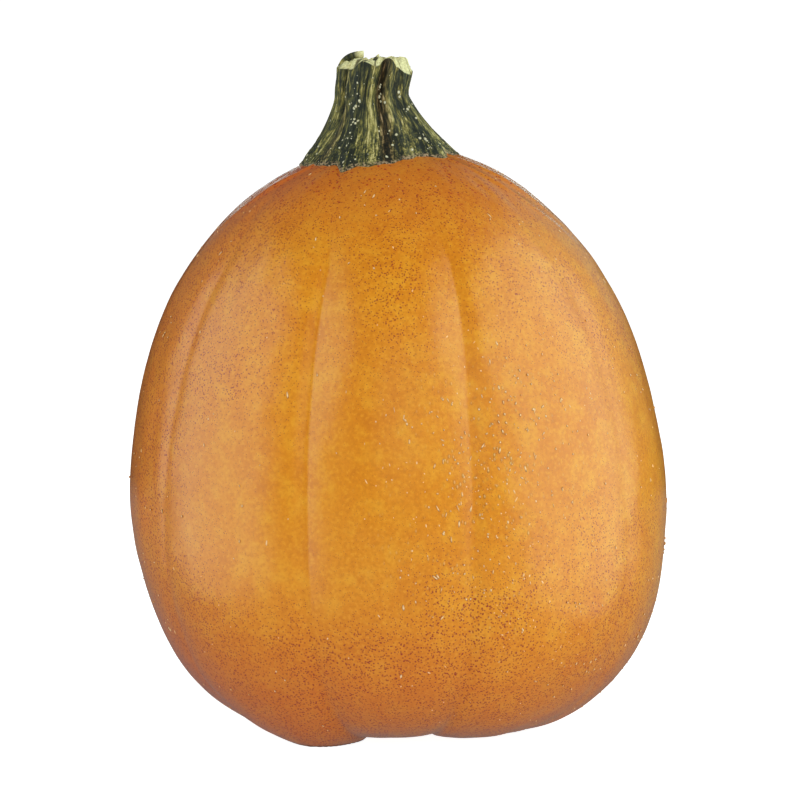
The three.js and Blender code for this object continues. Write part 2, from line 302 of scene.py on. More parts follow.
def stem_wall(azimuth, share, foot, fine):
    """Points of the stem's skin, from the fruit (share 0) to the cut (share 1), raised by fine."""
    height = mix(foot[..., 2], CUT_HEIGHT - around(SKIN_ENDS, azimuth), share)
    drop = np.clip((NECK_FOOT_HEIGHT - height) / (NECK_FOOT_HEIGHT - foot[..., 2]), 0, 1)
    flare = drop ** (FLARE_POWER - FLARE_LEFT_TO_RIGHT * np.sin(np.radians(azimuth)))
    rise = step(NECK_FOOT_HEIGHT, CUT_HEIGHT, height)
    raised = ridge(drifted(azimuth, share)) * step(0, 0.12, share) * mix(1.1, 0.8, share) + fine
    slope = 0.8 * flare
    reach = NECK_RADIUS + RIM_SPREAD * rise + raised * (1 - slope)
    angle = np.radians(azimuth)
    x = mix(mix(NECK[0], CUT[0], rise) + reach * np.sin(angle), foot[..., 0], flare)
    y = mix(mix(NECK[1], CUT[1], rise) - reach * np.cos(angle), foot[..., 1], flare)
    return np.stack([x, y, height + np.maximum(raised, 0) * slope], axis=-1)


# Making meshes

def closed_mesh(name, bottom, rows, top, attributes):
    """One closed surface from a lowest point, through loops of points, to a highest one.

    An attribute has a value for each point of the rows.
    """
    count, columns = rows.shape[:2]
    points = np.concatenate([[bottom], rows.reshape(-1, 3), [top]]) * MM
    here = np.arange(columns)
    beside = (here + 1) % columns
    faces = np.stack([np.zeros_like(here), 1 + beside, 1 + here], axis=1).tolist()
    for j in range(count - 1):
        low, high = 1 + j * columns, 1 + (j + 1) * columns
        faces += np.stack([low + here, low + beside, high + beside, high + here], axis=1).tolist()
    last = 1 + (count - 1) * columns
    faces += np.stack([np.full_like(here, len(points) - 1), last + here, last + beside], axis=1).tolist()
    mesh = bpy.data.meshes.new(name)
    mesh.from_pydata(points.tolist(), [], faces)
    for key, values in attributes.items():
        flat = np.concatenate([[values[0, 0]], values.ravel(), [values[-1, 0]]]).astype(np.float32)
        layer = mesh.attributes.new(key, "FLOAT", "POINT")
        layer.data.foreach_set("value", flat)
    mesh.shade_smooth()
    return mesh


def add_object(name, data):
    made = bpy.data.objects.new(name, data)
    bpy.context.scene.collection.objects.link(made)
    return made


def add_piece(name, mesh, material):
    piece = add_object(name, mesh)
    mesh.materials.append(material)
    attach(piece, "root")
    return piece


# The fruit

def even_latitudes(count):
    """Latitudes at even lengths along the skin, from the blossom end to the crown, and the lengths."""
    latitude = np.linspace(-90, 90, 2001)
    profile = skin(np.full_like(latitude, 36.0), latitude)
    length = np.concatenate([[0], np.cumsum(np.linalg.norm(np.diff(profile, axis=0), axis=1))])
    lengths = length[-1] * np.linspace(0, 1, count + 2)[1:-1]
    return np.interp(lengths, length, latitude), lengths


# Where the specks thicken, as latitudes round the fruit: above these, and below these
SPECKS_ABOVE = [(-100, 0), (-60, 8), (-35, 16), (0, 28), (20, 30), (60, 22), (100, 15), (180, 25)]
SPECKS_BELOW = [
    (-100, 8), (-65, 2), (-45, -4), (-20, -14), (-5, -12), (12, -2), (40, 4), (70, 6), (100, 4), (180, -15),
]

# Folds of the skin that run down from the stem beside its side toes: azimuth, turn by latitude, height
FOLDS = [(56, -0.9, 0.8), (68, -0.7, 1.0), (-66, 0.8, 0.8)]
FOLD_WIDTH = 2.4
FOLD_TURNS_FROM = 66
FOLD_LATITUDE = 64
FOLD_SPAN = 12


def folds(azimuth, latitude):
    rise = 0
    for middle, turn, high in FOLDS:
        off = turned(azimuth - middle - turn * (latitude - FOLD_TURNS_FROM))
        rise = rise + high * bell(off, FOLD_WIDTH)
    return rise * bell(latitude - FOLD_LATITUDE, FOLD_SPAN)


def fruit_surface():
    """The rows of points of the skin, and what its material reads at them."""
    latitude, along = even_latitudes(FRUIT_ROWS)
    azimuth, latitude = np.meshgrid(360 * np.arange(FRUIT_COLUMNS) / FRUIT_COLUMNS, latitude)
    along = np.repeat(along[:, None], FRUIT_COLUMNS, axis=1)
    calm = step(-88, -60, latitude) * step(86, 60, latitude)
    lumps = 0.30 * wavy(azimuth / 360, along / 24, 30, 11) + 0.14 * wavy(azimuth / 360, along / 9, 84, 12)
    lumps += 0.18 * wavy(azimuth / 360, along / 70, 62, 14)
    points = skin(azimuth, latitude, lumps * calm + folds(azimuth, latitude))
    clumps = wavy(azimuth / 360, along / 16, 46, 13)
    above, below = around(SPECKS_ABOVE, azimuth), around(SPECKS_BELOW, azimuth)
    specks = 0.14 + 0.85 * step(above - 14, above + 10, latitude)
    specks += 0.95 * step(below + 12, below - 10, latitude)
    specks += 0.6 * bell(turned(azimuth + 88), 32) + 0.25 * clumps
    in_furrow = furrow_depth(azimuth, latitude) / 3
    specks += in_furrow * (0.3 * step(0, -20, latitude) - 0.5 * step(10, 30, latitude))
    # Browner rind at the crown, and towards the ground and on the left; on the underside and the left side
    # the darkening is partly painted shade
    foot = 0.55 * step(-2, -40, latitude) * step(-95, -50, latitude)
    foot = foot * mix(1, 0.75, bell(turned(azimuth - 30), 35))
    brown_and_shade = 0.5 * step(42, 68, latitude) + foot + 0.6 * bell(turned(azimuth + 86), 36)
    cork = bell(turned(azimuth - 22), 20) * bell(latitude - 6, 20) * (0.7 + 0.6 * clumps)
    attributes = {
        "specks": np.clip(specks, 0, 1.2),
        "brown_and_shade": np.clip(brown_and_shade, 0, 1),
        "cork": np.clip(cork, 0, 1),
        "crown": step(50, 68, latitude),
    }
    return points, attributes


def set_in_place(points):
    """Where the formulas' points lie in the frame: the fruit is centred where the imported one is."""
    low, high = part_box("fruit")
    middle = np.array([(low.x + high.x) / 2, (low.y + high.y) / 2]) / MM
    flat = FRUIT_POINTS.reshape(-1, 3)
    own_middle = (flat.max(0) + flat.min(0))[:2] / 2
    return points + np.append(middle - own_middle, 0)


# Materials

SOCKETS = {"specular_ior_level": "Specular IOR Level"}


class Nodes:
    """The nodes of a material, a light or the surround, made one by one."""

    def __init__(self, tree):
        self.tree = tree

    def put(self, socket, value):
        if isinstance(value, bpy.types.NodeSocket):
            self.tree.links.new(value, socket)
        elif isinstance(value, tuple) and len(value) == 3 and socket.type == "RGBA":
            socket.default_value = (*value, 1)
        else:
            socket.default_value = value

    def node(self, kind, sockets=(), **settings):
        made = self.tree.nodes.new(kind)
        for key, value in settings.items():
            setattr(made, key, value)
        for key, value in dict(sockets).items():
            self.put(made.inputs[key], value)
        return made

    def math(self, operation, a, b=0.0, c=0.0):
        return self.node("ShaderNodeMath", {0: a, 1: b, 2: c}, operation=operation).outputs[0]

    def map(self, value, low, high, start=0.0, end=1.0):
        sockets = {"Value": value, "From Min": low, "From Max": high, "To Min": start, "To Max": end}
        return self.node("ShaderNodeMapRange", sockets, interpolation_type="SMOOTHSTEP").outputs[0]

    def mix(self, share, a, b):
        made = self.node("ShaderNodeMix", data_type="RGBA")
        self.put(made.inputs[0], share)
        self.put(made.inputs[6], a)
        self.put(made.inputs[7], b)
        return made.outputs[2]

    def place(self, stretch=(1, 1, 1)):
        """The place on the object, in millimetres."""
        coordinates = self.node("ShaderNodeTexCoord").outputs["Object"]
        scale = tuple(share / MM for share in stretch)
        stretched = self.node("ShaderNodeVectorMath", {0: coordinates, 1: scale}, operation="MULTIPLY")
        return stretched.outputs[0]

    def value(self, name):
        return self.node("ShaderNodeAttribute", attribute_name=name).outputs["Fac"]

    def vector(self, x, y, z):
        return self.node("ShaderNodeCombineXYZ", {0: x, 1: y, 2: z}).outputs[0]

    def noise(self, place, size, detail, roughness, seed):
        sockets = {"Vector": place, "W": seed, "Scale": 1 / size, "Detail": detail, "Roughness": roughness}
        return self.node("ShaderNodeTexNoise", sockets, noise_dimensions="4D").outputs["Fac"]

    def cells(self, place, size, seed):
        """The distance to the nearest of points strewn about a cell apart, in cells."""
        shift = (seed * 97.0, seed * 31.0, seed * 53.0)
        moved = self.node("ShaderNodeVectorMath", {0: place, 1: shift}).outputs[0]
        return self.node("ShaderNodeTexVoronoi", {"Vector": moved, "Scale": 1 / size}).outputs["Distance"]

    def ramp(self, value, stops):
        made = self.node("ShaderNodeValToRGB", {"Fac": value})
        elements = made.color_ramp.elements
        while len(elements) < len(stops):
            elements.new(0.5)
        for element, (position, colour) in zip(elements, stops):
            element.position = position
            element.color = (*colour, 1)
        return made.outputs["Color"]

    def bump(self, height, distance):
        sockets = {"Height": height, "Distance": distance * MM, "Strength": 1.0}
        return self.node("ShaderNodeBump", sockets).outputs[0]


class Shading(Nodes):
    """A new material and its nodes."""

    def __init__(self, name):
        self.material = bpy.data.materials.new(name)
        self.material.use_nodes = True
        super().__init__(self.material.node_tree)
        self.shader = self.tree.nodes["Principled BSDF"]

    def set(self, **sockets):
        for key, value in sockets.items():
            self.put(self.shader.inputs[SOCKETS.get(key, key.replace("_", " ").title())], value)


# The rind's colours
ORANGE = (0.72, 0.230, 0.006)
LIGHT_ORANGE = (0.76, 0.264, 0.008)
GOLDEN = (0.82, 0.350, 0.018)
DEEP_ORANGE = (0.64, 0.188, 0.006)
PALE_FRECKLE = (0.84, 0.370, 0.020)
DEEP_FRECKLE = (0.62, 0.180, 0.006)
# A browner, darker orange: partly the rind's own colour, partly painted shade on the underside and the left
# side
BROWN_AND_SHADE = (0.62, 0.130, 0.020)
PIMPLE = (0.92, 0.58, 0.20)
# A brown ring round each pimple: painted shadow
PAINTED_PIMPLE_SHADOW = (0.46, 0.17, 0.02)
FINE_SPECK = (0.37, 0.050, 0.014)
COARSE_SPECK = (0.34, 0.032, 0.012)
CROWN_SPECK = (0.44, 0.022, 0.010)

# How far apart its patches and marks are
DRIFT_SIZE = 42
MOTTLE_SIZE = 10
CORK_PATCH_SIZE = 5
WAXY_SIZE = 3.4
CROWN_SPECK_SPACING = 3.1
PIMPLE_SPACING = 2.1
COARSE_SPECK_SPACING = 1.95
FRECKLE_SIZE = 1.6
FINE_SPECK_SPACING = 1.15
SKIN_GRAIN_SIZE = 0.9


def mottled_orange(shade, place):
    """Orange that drifts from golden to deep, browner at the crown, and browner and darker on the left and
    towards the ground, partly as painted shade there.
    """
    drift = shade.noise(place, DRIFT_SIZE, 2, 0.5, 1.0)
    mottle = shade.noise(place, MOTTLE_SIZE, 5, 0.65, 2.0)
    freckle = shade.noise(place, FRECKLE_SIZE, 3, 0.6, 3.0)
    colour = shade.mix(shade.map(drift, 0.35, 0.65), ORANGE, LIGHT_ORANGE)
    colour = shade.mix(shade.map(mottle, 0.45, 0.68, 0, 0.75), colour, GOLDEN)
    colour = shade.mix(shade.map(mottle, 0.47, 0.3, 0, 0.65), colour, DEEP_ORANGE)
    colour = shade.mix(shade.map(freckle, 0.5, 0.66, 0, 0.55), colour, PALE_FRECKLE)
    colour = shade.mix(shade.map(freckle, 0.5, 0.34, 0, 0.5), colour, DEEP_FRECKLE)
    # The browner rind, which on the left and below is partly painted shade
    return shade.mix(shade.value("brown_and_shade"), colour, BROWN_AND_SHADE)


def add_pimples(shade, place, colour):
    """Pimples of cork, to the right of the middle, each with a painted shadow round it: the colour with
    them, and where they are.
    """
    patches = shade.map(shade.noise(place, CORK_PATCH_SIZE, 2, 0.5, 7.0), 0.42, 0.56)
    corky = shade.math("MULTIPLY", shade.value("cork"), patches)
    distance = shade.cells(shade.place((1, 1, 0.6)), PIMPLE_SPACING, 3.0)
    pimple = shade.math("MULTIPLY", shade.map(distance, 0.26, 0.10), corky)
    # A darker ring round each pimple, as painted shadow
    painted_shadow = shade.math("MULTIPLY", shade.map(distance, 0.42, 0.28), corky)
    colour = shade.mix(shade.math("MULTIPLY", painted_shadow, 0.4), colour, PAINTED_PIMPLE_SHADOW)
    colour = shade.mix(shade.math("MULTIPLY", pimple, 0.8), colour, PIMPLE)
    return colour, pimple


def add_specks(shade, place, colour):
    """Red-brown specks, dense at the crown, on the left and at the base, the largest only at the crown.

    It returns the colour with them, and where the coarse ones are.
    """
    dense = shade.value("specks")
    crown = shade.value("crown")
    reach = shade.math("MULTIPLY_ADD", crown, 0.045, shade.math("MULTIPLY_ADD", dense, 0.155, 0.03))
    distance = shade.cells(place, COARSE_SPECK_SPACING, 1.0)
    coarse = shade.map(shade.math("SUBTRACT", reach, distance), -0.03, 0.05)
    reach = shade.math("MULTIPLY_ADD", crown, -0.09, shade.math("MULTIPLY_ADD", dense, 0.19, 0.09))
    distance = shade.cells(place, FINE_SPECK_SPACING, 2.0)
    fine = shade.map(shade.math("SUBTRACT", reach, distance), -0.04, 0.05)
    distance = shade.cells(place, CROWN_SPECK_SPACING, 8.0)
    large = shade.math("MULTIPLY", shade.map(distance, 0.23, 0.15), crown)
    colour = shade.mix(shade.math("MULTIPLY", fine, 0.85), colour, FINE_SPECK)
    colour = shade.mix(shade.math("MULTIPLY", coarse, 0.95), colour, COARSE_SPECK)
    colour = shade.mix(shade.math("MULTIPLY", large, 0.9), colour, CROWN_SPECK)
    return colour, coarse


def rind_material():
    shade = Shading("rind")
    place = shade.place()
    colour, pimple = add_pimples(shade, place, mottled_orange(shade, place))
    colour, coarse = add_specks(shade, place, colour)
    skin_grain = shade.noise(place, SKIN_GRAIN_SIZE, 3, 0.6, 5.0)
    waxy = shade.noise(place, WAXY_SIZE, 3, 0.55, 6.0)
    relief = shade.math("MULTIPLY_ADD", waxy, 1.2, skin_grain)
    relief = shade.math("SUBTRACT", relief, shade.math("MULTIPLY", coarse, 0.5))
    relief = shade.math("MULTIPLY_ADD", pimple, 3.0, relief)
    shade.set(base_color=colour, roughness=0.5, specular_ior_level=0.15, normal=shade.bump(relief, 0.16))
    shade.set(coat_weight=0.95, coat_roughness=0.19, coat_normal=shade.bump(relief, 0.06))
    return shade.material


# Corky grains, on the skin and on the stem

def surface_frames(surface, u, v, width):
    """Points of a surface, with the directions along v and out of it.

    The width is how far u and v are varied to find them.
    """
    here = surface(u, v)
    along_u = surface(u + width, v) - here
    along_v = surface(u, v + width) - here
    out = np.cross(along_u, along_v)
    out = out / np.linalg.norm(out, axis=-1, keepdims=True)
    ahead = along_v / np.linalg.norm(along_v, axis=-1, keepdims=True)
    return here, ahead, out


# Rings of a grain: how far out and how high, as shares of its half width and its height, and how pale; the
# low rings at 0 take the dark foot colour, a painted shadow round the grain's base
GRAIN_RINGS = [(1.0, -0.7, 0), (1.3, 0.05, 0), (0.85, 0.45, 0.7), (0.55, 0.85, 1)]
GRAIN_SIDES = 9
CORK_GRAIN_SIZE = 0.8


def grains_mesh(name, frames, turn, long, wide, high, seed):
    """Small knobs in one mesh, each a closed lump sunk into the surface at its frame."""
    draw = np.random.RandomState(seed)
    here, ahead, out = frames
    aside = np.cross(out, ahead)
    points, faces, pale = [], [], []
    for i in range(len(here)):
        first = len(points)
        direction = math.cos(turn[i]) * ahead[i] + math.sin(turn[i]) * aside[i]
        across = np.cross(out[i], direction)
        # Paleness 0 takes the foot colour: painted shadow at the grain's base
        for far, level, paleness in GRAIN_RINGS:
            pale += [paleness] * GRAIN_SIDES
            for k in range(GRAIN_SIDES):
                angle = 2 * math.pi * k / GRAIN_SIDES
                reach = far * draw.uniform(0.8, 1.15)
                flat = reach * (long[i] * math.cos(angle) * direction + wide[i] * math.sin(angle) * across)
                points.append(here[i] + flat + level * high[i] * out[i])
        points.append(here[i] - high[i] * out[i])
        points.append(here[i] + high[i] * out[i])
        pale += [0, 1]
        under, top = len(points) - 2, len(points) - 1
        last = first + (len(GRAIN_RINGS) - 1) * GRAIN_SIDES
        for k in range(GRAIN_SIDES):
            n = (k + 1) % GRAIN_SIDES
            faces.append((under, first + n, first + k))
            faces.append((top, last + k, last + n))
            for ring in range(len(GRAIN_RINGS) - 1):
                a = first + ring * GRAIN_SIDES
                b = a + GRAIN_SIDES
                faces.append((a + k, a + n, b + n, b + k))
    mesh = bpy.data.meshes.new(name)
    mesh.from_pydata((set_in_place(np.array(points)) * MM).tolist(), [], faces)
    mesh.attributes.new("pale", "FLOAT", "POINT").data.foreach_set("value", pale)
    mesh.shade_smooth()
    return mesh


def cork_material(name, pale, dull, foot):
    """Cork of two tones; the foot is its colour where a grain sinks into the surface, a dark painted shadow
    round the grain's base.
    """
    shade = Shading(name)
    tone = shade.noise(shade.place(), CORK_GRAIN_SIZE, 3, 0.6, 1.0)
    colour = shade.mix(shade.map(tone, 0.35, 0.65), dull, pale)
    # Dark at the grain's base as painted shadow, the cork's own tones higher up
    colour = shade.mix(shade.value("pale"), foot, colour)
    shade.set(base_color=colour, roughness=0.7, normal=shade.bump(tone, 0.05))
    return shade.material


FLECKS = 1800
# Pale and dull cork, and a dark foot that paints the shadow round each fleck's base
SKIN_CORK = ((1.00, 0.74, 0.42), (0.90, 0.52, 0.20), (0.40, 0.13, 0.02))


def skin_flecks():
    """Raised flecks of cork on the fruit, mostly small grains, thickest to the right of the middle."""
    draw = np.random.RandomState(41)
    azimuth = draw.uniform(-180, 180, FLECKS * 6)
    latitude = np.degrees(np.arcsin(draw.uniform(-0.8, 0.93, FLECKS * 6)))
    clumps = 0.5 + 0.5 * wavy(azimuth / 360, (latitude + 90) / 12, 30, 42)
    thick = bell(turned(azimuth - 22), 20) * bell(latitude - 8, 26)
    wanted = 0.025 + 0.15 * clumps ** 3 + 1.3 * thick * clumps ** 1.5
    kept = np.flatnonzero(draw.uniform(0, 1, len(azimuth)) < wanted)[:FLECKS]
    frames = surface_frames(skin, azimuth[kept], latitude[kept], 0.2)
    long = 0.24 + 1.0 * draw.uniform(0, 1, len(kept)) ** 6 + 0.25 * draw.uniform(0, 1, len(kept))
    wide = draw.uniform(0.15, 0.40, len(kept))
    high = draw.uniform(0.2, 0.45, len(kept))
    turn = draw.normal(0, 0.45, len(kept))
    return grains_mesh("skin_flecks", frames, turn, long, wide, high, 43)


FRUIT_POINTS, FRUIT_VALUES = fruit_surface()
fruit_mesh = closed_mesh(
    "pumpkin_skin",
    set_in_place(skin(0.0, -90.0)),
    set_in_place(FRUIT_POINTS),
    set_in_place(skin(0.0, 90.0)),
    FRUIT_VALUES,
)
fruit = add_piece("pumpkin_skin", fruit_mesh, rind_material())
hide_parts("fruit")
add_piece("skin_flecks", skin_flecks(), cork_material("skin_cork", *SKIN_CORK))

# The stem

# How pale the stem's skin is round it, or how dark where it is less than nothing: azimuth, paleness
STEM_PALE = [
    (-100, 0.2), (-84, -0.2), (-68, 0.30), (-55, 0.1), (-46, 0.4), (-38, -0.35), (-24, -0.75), (-14, -0.1),
    (-6, 0.30), (1, 0.35), (8, 0.1), (14, -0.6), (24, 0.05), (34, 0.0), (47, -0.75), (58, 0.10),
    (70, 0.25), (90, 0.3), (115, -0.5), (150, 0.4), (185, -0.6), (220, 0.4),
]

# How brown it is round it, and not green: azimuth, share of brown
STEM_BROWN = [
    (-60, 0.0), (-46, 0.5), (-36, 0.0), (3, 0.0), (14, 1.0), (26, 0.1), (60, 0.0), (150, 0.5), (200, 0.0),
]
STEM_ROWS = 140
TORN_ROWS = 26
BASE_ROWS = 8
SINK = 0.9

# The sharp fold of the stem's skin: how far up the stem, azimuth
CREASE = [(0.0, 66), (0.35, 60), (0.7, 52), (1.0, 50)]
CREASE_HEIGHT = 1.3


def stem_fibres(azimuth, share):
    """Fine relief of the stem's skin: fibres along it, scales near its foot, and one sharp fold."""
    turn = (drifted(azimuth, share) + 4 * wavy(azimuth / 360, share * 2.5, 14, 27)) / 360
    fibres = 0.55 * wavy(turn, share * 2.4, 44, 21) + 0.40 * wavy(turn, share * 4.0, 110, 22)
    low = step(0.42, 0.06, share)
    scales = wavy(turn, share * 24, 84, 23) + 0.6 * wavy(turn, share * 44, 150, 28)
    levels, places = zip(*CREASE)
    past = turned(azimuth - np.interp(share, levels, places))
    fold = step(-10, -0.6, past) * step(1.0, -0.6, past)
    frayed = 0.9 * np.abs(wavy(turn, share * 60, 170, 24)) * step(0.07, 0.01, share)
    relief = mix(fibres, 0.5 * fibres + 0.5 * scales, low) * step(0, 0.08, share)
    return relief + CREASE_HEIGHT * fold * step(1, 0.75, share) + frayed


TORN_LOW_SIDE = -75
TORN_LOW_WIDTH = 32
TORN_LOW_DEPTH = 1.8
TORN_HOLLOW = 2.6


def torn_end(azimuth, share, edge):
    """The torn end, from the skin's edge (share 0) to the middle (share 1)."""
    rough = 0.5 * np.sin(np.radians(azimuth * 5)) + 0.4 * np.sin(np.radians(azimuth * 8 + 40))
    ragged = 0.7 * wavy(azimuth / 360, share * 9, 46, 25) + 0.4 * wavy(azimuth / 360, share * 20, 90, 26)
    rough = rough + ragged - TORN_LOW_DEPTH * bell(turned(azimuth - TORN_LOW_SIDE), TORN_LOW_WIDTH)
    level = CUT_HEIGHT + rough * step(1, 0.5, share) - TORN_HOLLOW * step(0.3, 1, share)
    x = mix(edge[..., 0], CUT[0], share)
    y = mix(edge[..., 1], CUT[1], share)
    return np.stack([x, y, mix(edge[..., 2], level, step(0, 0.2, share))], axis=-1)


def stem_surface():
    azimuth = 360 * np.arange(STEM_COLUMNS) / STEM_COLUMNS
    foot = stem_outline(azimuth)
    share = np.linspace(0, 1, STEM_ROWS + 1)[1:] ** 1.1
    around_wall, up_wall = np.meshgrid(azimuth, share)
    wall = stem_wall(around_wall, up_wall, foot, stem_fibres(around_wall, up_wall))
    base = [stem_outline(azimuth, k / BASE_ROWS, SINK) for k in range(1, BASE_ROWS + 1)]
    around_end, in_end = np.meshgrid(azimuth, np.linspace(0, 0.97, TORN_ROWS + 1)[1:])
    end = torn_end(around_end, in_end, wall[-1])
    rows = np.concatenate([np.stack(base), wall, end])
    azimuth = np.tile(azimuth, (len(rows), 1))
    share = np.concatenate([np.zeros((BASE_ROWS, STEM_COLUMNS)), up_wall, np.ones_like(in_end)])
    fibre = drifted(azimuth, share) + 4 * wavy(azimuth / 360, share * 2.5, 14, 27)
    angle = np.radians(fibre)
    values = {
        "share": share,
        "torn": np.concatenate([np.zeros((BASE_ROWS + STEM_ROWS, STEM_COLUMNS)), step(0, 0.05, in_end)]),
        "pale": around(STEM_PALE, fibre),
        "brown": around(STEM_BROWN, fibre),
        # The fine relief's height, which the material paints as shade between the fibres and paler on their
        # tops
        "fibre": stem_fibres(azimuth, share),
        "fibre_x": NECK_RADIUS * np.cos(angle),
        "fibre_y": NECK_RADIUS * np.sin(angle),
    }
    return rows, values


# The stem's colours, from the dark valleys, darkened further by painted shade between the fibres, to the
# pale fibres of its skin, and of the wood at its torn end
GREEN_SKIN = [
    (0.12, (0.018, 0.021, 0.014)),
    (0.34, (0.055, 0.058, 0.024)),
    (0.52, (0.125, 0.112, 0.030)),
    (0.70, (0.300, 0.255, 0.065)),
    (0.92, (0.600, 0.510, 0.220)),
]
BROWN_SKIN = [
    (0.10, (0.012, 0.009, 0.004)),
    (0.35, (0.060, 0.038, 0.012)),
    (0.62, (0.220, 0.140, 0.060)),
    (0.90, (0.520, 0.360, 0.210)),
]
DARK_RIM = (0.030, 0.024, 0.012)
FRAYED_RIM = (0.42, 0.29, 0.17)
TORN_WOOD = (0.62, 0.55, 0.25)
PALE_TORN_WOOD = (0.88, 0.83, 0.46)
TORN_STREAK = (0.06, 0.05, 0.02)

# How far apart its fibres and grains are
HAIR_SIZE = 0.36
STRAND_SIZE = 0.8
STREAK_SIZE = 1.8
STEM_GRAIN_SIZE = 0.9

# The stem's length as its fibres' noise reads it, short so that the fibres are long
STEM_LENGTH_IN_FIBRES = 5.0


def stem_material():
    shade = Shading("stem_skin")
    share = shade.value("share")
    along = shade.math("MULTIPLY", share, STEM_LENGTH_IN_FIBRES)
    fibre_place = shade.vector(shade.value("fibre_x"), shade.value("fibre_y"), along)
    hair = shade.noise(fibre_place, HAIR_SIZE, 3, 0.6, 1.0)
    strand = shade.noise(fibre_place, STRAND_SIZE, 2, 0.5, 4.0)
    streak = shade.noise(fibre_place, STREAK_SIZE, 3, 0.6, 2.0)
    grain = shade.noise(shade.place(), STEM_GRAIN_SIZE, 4, 0.65, 3.0)
    low = shade.map(share, 0.4, 0.05)

    # How pale the skin is: by the bands round the stem, the fibres' heights, as painted light on their tops
    # and painted shade between them, streaks, and scales near the foot
    tone = shade.math("MULTIPLY_ADD", shade.value("pale"), 0.26, 0.40)
    # Paler on the fibres' tops and darker between them: painted light and shade from the relief
    tone = shade.math("MULTIPLY_ADD", shade.value("fibre"), 0.22, tone)
    tone = shade.math("MULTIPLY_ADD", shade.math("SUBTRACT", streak, 0.5), 1.1, tone)
    tone = shade.math("MULTIPLY_ADD", shade.math("SUBTRACT", strand, 0.5), 1.5, tone)
    tone = shade.math("MULTIPLY_ADD", shade.math("SUBTRACT", hair, 0.5), 1.7, tone)
    grain_strength = shade.math("MULTIPLY_ADD", low, 1.6, 0.4)
    stipple = shade.math("MULTIPLY", shade.math("SUBTRACT", grain, 0.5), grain_strength)
    tone = shade.math("ADD", tone, stipple)
    colour = shade.mix(shade.value("brown"), shade.ramp(tone, GREEN_SKIN), shade.ramp(tone, BROWN_SKIN))

    # Its rim on the fruit, dark and frayed, and its torn end
    rim = shade.math("MULTIPLY", shade.map(share, 0.06, 0.0), 0.6)
    fringe = shade.math("MULTIPLY", shade.map(share, 0.05, 0.01), shade.map(grain, 0.47, 0.58))
    colour = shade.mix(rim, colour, DARK_RIM)
    colour = shade.mix(fringe, colour, FRAYED_RIM)
    torn = shade.mix(shade.map(grain, 0.36, 0.6), TORN_WOOD, PALE_TORN_WOOD)
    torn = shade.mix(shade.map(streak, 0.55, 0.64, 0, 0.85), torn, TORN_STREAK)
    colour = shade.mix(shade.value("torn"), colour, torn)
    relief = shade.math("ADD", shade.math("ADD", hair, grain), streak)
    shade.set(base_color=colour, roughness=0.6, specular_ior_level=0.35, normal=shade.bump(relief, 0.28))
    return shade.material


# Torn strips of skin: name, three points of the route, the direction it is wide in, width, thickness
FLAP_ROUTE = ((-26.6, 4.5, 287), (-28.0, 3.6, 297.6), (-16.4, 2.2, 298.0))
SPLINTER_ROUTE = ((-14.0, -13.0, 288.5), (-12.4, -12.4, 294.6), (-9.6, -11.6, 298.2))
TORN_STRIPS = [
    ("torn_flap", FLAP_ROUTE, (0, 1, 0), 5.6, 3.0),
    ("torn_splinter", SPLINTER_ROUTE, (1, 0.3, 0), 2.6, 1.3),
]
STRIP_STEPS = 16
STRIP_SIDES = 12


def strip_mesh(name, route, wide_way, width, thickness):
    """A thin torn strip along three points, as a closed lens that narrows to its tip."""
    start, bend, tip = (np.array(point, dtype=float) for point in route)
    rows = []
    for t in np.linspace(0, 1, STRIP_STEPS):
        middle = start * (1 - t) ** 2 + 2 * bend * t * (1 - t) + tip * t ** 2
        ahead = (bend - start) * (1 - t) + (tip - bend) * t
        across = np.cross(ahead, wide_way)
        across = across / np.linalg.norm(across)
        side = np.cross(across, ahead)
        side = side / np.linalg.norm(side)
        narrow = 1 - 0.75 * t ** 3
        row = []
        for k in range(STRIP_SIDES):
            angle = 2 * math.pi * k / STRIP_SIDES
            out = thickness / 2 * math.cos(angle) * across
            row.append(middle + out + narrow * width / 2 * math.sin(angle) * side)
        rows.append(row)
    rows = set_in_place(np.array(rows))
    share = np.linspace(0, 1, STRIP_STEPS)[:, None] * np.ones((STRIP_STEPS, STRIP_SIDES))
    values = {"share": 0.5 + 0.5 * share, "torn": step(0.80, 0.92, share)}
    return closed_mesh(name, rows[0].mean(0), rows, rows[-1].mean(0), values)


STEM_DOTS = 230
# Pale and dull cork, and a very dark foot that paints the shadow round each dot's base
STEM_CORK = ((0.83, 0.79, 0.56), (0.62, 0.56, 0.34), (0.10, 0.09, 0.04))


def stem_dots():
    """Cream dots of cork on the stem, along its dark ridges and strewn over its foot."""
    draw = np.random.RandomState(51)
    azimuth = draw.uniform(-180, 180, STEM_DOTS * 12)
    share = draw.uniform(0.02, 0.94, STEM_DOTS * 12)
    dark = np.clip(-around(STEM_PALE, azimuth), 0, 1)
    wanted = 0.05 + 1.4 * dark ** 2 * bell(share - 0.35, 0.5) + 0.25 * step(0.3, 0.05, share)
    kept = np.flatnonzero(draw.uniform(0, 1, len(azimuth)) < wanted)[:STEM_DOTS]

    def wall(a, s):
        return stem_wall(a, s, stem_outline(a), stem_fibres(a, s))

    frames = surface_frames(wall, azimuth[kept], share[kept], 0.004)
    size = 0.16 + 0.5 * draw.uniform(0, 1, len(kept)) ** 3
    long = size * draw.uniform(1.0, 1.6, len(kept))
    turn = draw.normal(0, 0.4, len(kept))
    return grains_mesh("stem_dots", frames, turn, long, size, size * 0.6, 52)


